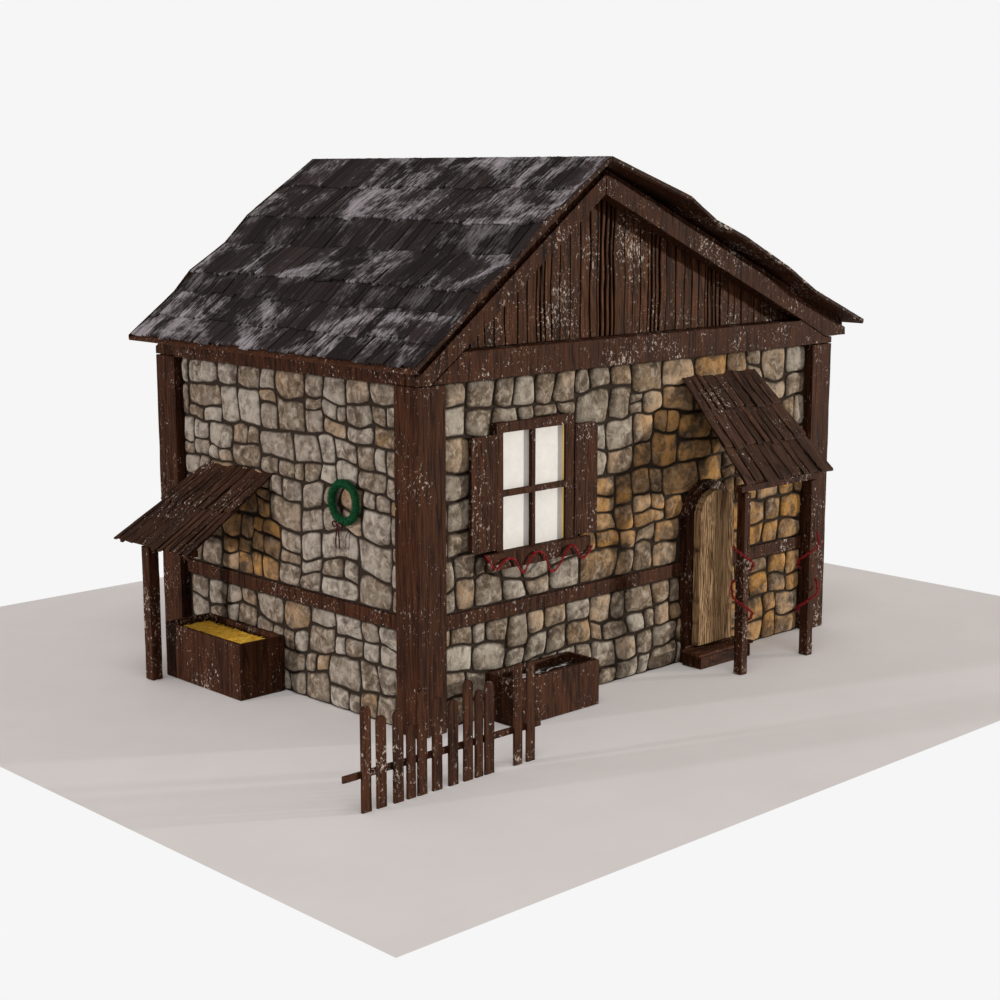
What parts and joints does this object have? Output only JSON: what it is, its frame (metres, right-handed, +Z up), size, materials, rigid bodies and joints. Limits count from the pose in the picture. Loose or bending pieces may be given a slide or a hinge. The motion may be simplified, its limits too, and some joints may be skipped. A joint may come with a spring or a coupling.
{
  "type": "timber-framed stone cottage",
  "caption": "Small stone cottage with a dark timber frame, lapped plank roof, boarded gables, porch and side hoods, a shuttered window and an arched plank door that opens.",
  "frame": {"origin": "centre of the rectangle between the outer faces of the four corner posts, on the ground", "axes": "+Z up, the front gable with the door faces -Y, +X along the front wall towards the door"},
  "size_m": [9.416, 6.327, 6.027],
  "materials": {
    "rubble_stone": "rough split rubble with dark recessed joints",
    "flagstone": "worn rough flags",
    "frame_timber": "weathered dark stain with deep grain and frost flecks",
    "gable_timber": "weathered dark stain, split and frosted",
    "roof_planks": "aged charcoal planks with patchy frost",
    "hood_planks": "aged dark planks with light frost",
    "door_timber": "oiled tan plank with deep grain",
    "frosted_glass": "frosted over, nearly opaque",
    "straw": "loose dry stalks",
    "soil": "loose dark earth with a streak of snow",
    "evergreen": "clipped needles",
    "red_tinsel": "short glossy tinsel"
  },
  "bodies": {
    "root": {"door_frame": "frame_timber", "door_step": "frame_timber", "floor": "flagstone", "front_trough": "frame_timber", "front_trough_soil": "soil", "gable_boards_back": "gable_timber", "gable_boards_front": "gable_timber", "picket_fence": "frame_timber", "plate_left": "frame_timber", "plate_right": "frame_timber", "porch_beam": "frame_timber", "porch_garland_left": "red_tinsel", "porch_garland_right": "red_tinsel", "porch_post_left": "frame_timber", "porch_post_right": "frame_timber", "porch_roof": "hood_planks", "post_back_left": "frame_timber", "post_back_right": "frame_timber", "post_front_left": "frame_timber", "post_front_right": "frame_timber", "rafter_back_left": "frame_timber", "rafter_back_right": "frame_timber", "rafter_front_left": "frame_timber", "rafter_front_right": "frame_timber", "rail_back": "frame_timber", "rail_front_left": "frame_timber", "rail_front_right": "frame_timber", "rail_left": "frame_timber", "rail_right": "frame_timber", "roof_left": "roof_planks", "roof_right": "roof_planks", "shutter_left": "frame_timber", "shutter_right": "frame_timber", "side_beam": "frame_timber", "side_hood": "hood_planks", "side_post": "frame_timber", "side_trough": "frame_timber", "side_trough_straw": "straw", "tie_beam_back": "frame_timber", "tie_beam_front": "frame_timber", "wall_back": "rubble_stone", "wall_front_left": "rubble_stone", "wall_front_right": "rubble_stone", "wall_left": "rubble_stone", "wall_over_door": "rubble_stone", "wall_right": "rubble_stone", "window_box": "frame_timber", "window_frame": "frame_timber", "window_garland": "red_tinsel", "window_glass": "frosted_glass", "wreath": "evergreen"},
    "door": {"door_leaf": "door_timber"}
  },
  "joints": [
    {"name": "door_hinge", "type": "hinge", "parent": "root", "child": "door", "pos_m": [1.491, -2.488, 1.17], "axis": [0, 0, 1], "range_deg": [0, 100]}
  ]
}
